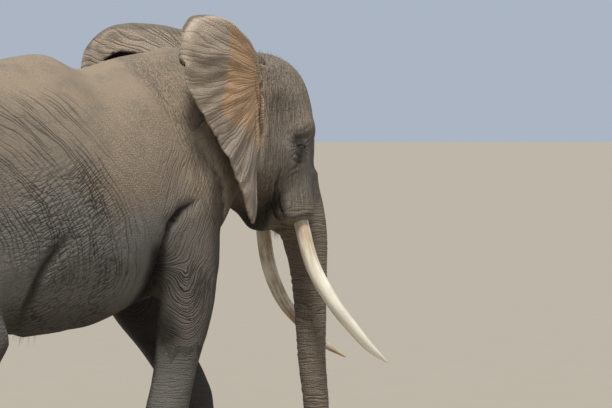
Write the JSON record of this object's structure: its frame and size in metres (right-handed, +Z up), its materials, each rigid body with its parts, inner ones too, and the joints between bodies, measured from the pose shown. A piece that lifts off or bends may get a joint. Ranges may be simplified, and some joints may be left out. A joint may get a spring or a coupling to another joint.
{
  "type": "elephant",
  "caption": "Life-size still model of an African bush elephant bull in mid stride, with long curved tusks, a hanging trunk and half-spread ears.",
  "frame": {"origin": "on the ground under the middle of the model's box", "axes": "+X towards the head, along the body; +Y towards the animal's left side; +Z up"},
  "size_m": [4.6736, 1.725, 3.4079],
  "materials": {
    "skin": "dry, wrinkled grey-brown hide with tan dust",
    "ivory": "satin ivory, stained brown at the lip",
    "eye": "wet dark brown eye",
    "nail": "dull dusty horn",
    "hair": "coarse black hair"
  },
  "bodies": {
    "root": {"rump": "skin", "belly": "skin", "chest": "skin", "neck": "skin", "head": "skin", "trunk_upper": "skin", "trunk_middle": "skin", "trunk_lower": "skin", "ear_right": "skin", "ear_left": "skin", "tusk_right": "ivory", "tusk_left": "ivory", "eye_right": "eye", "eye_left": "eye", "tail": "skin", "tail_tuft": "hair", "foreleg_right_upper": "skin", "foreleg_right_lower": "skin", "foreleg_right_foot": "skin", "foreleg_right_nail_1": "nail", "foreleg_right_nail_2": "nail", "foreleg_right_nail_3": "nail", "foreleg_right_nail_4": "nail", "foreleg_left_upper": "skin", "foreleg_left_lower": "skin", "foreleg_left_foot": "skin", "foreleg_left_nail_1": "nail", "foreleg_left_nail_2": "nail", "foreleg_left_nail_3": "nail", "foreleg_left_nail_4": "nail", "hindleg_right_upper": "skin", "hindleg_right_lower": "skin", "hindleg_right_foot": "skin", "hindleg_right_nail_1": "nail", "hindleg_right_nail_2": "nail", "hindleg_right_nail_3": "nail", "hindleg_left_upper": "skin", "hindleg_left_lower": "skin", "hindleg_left_foot": "skin", "hindleg_left_nail_1": "nail", "hindleg_left_nail_2": "nail", "hindleg_left_nail_3": "nail"}
  },
  "joints": []
}
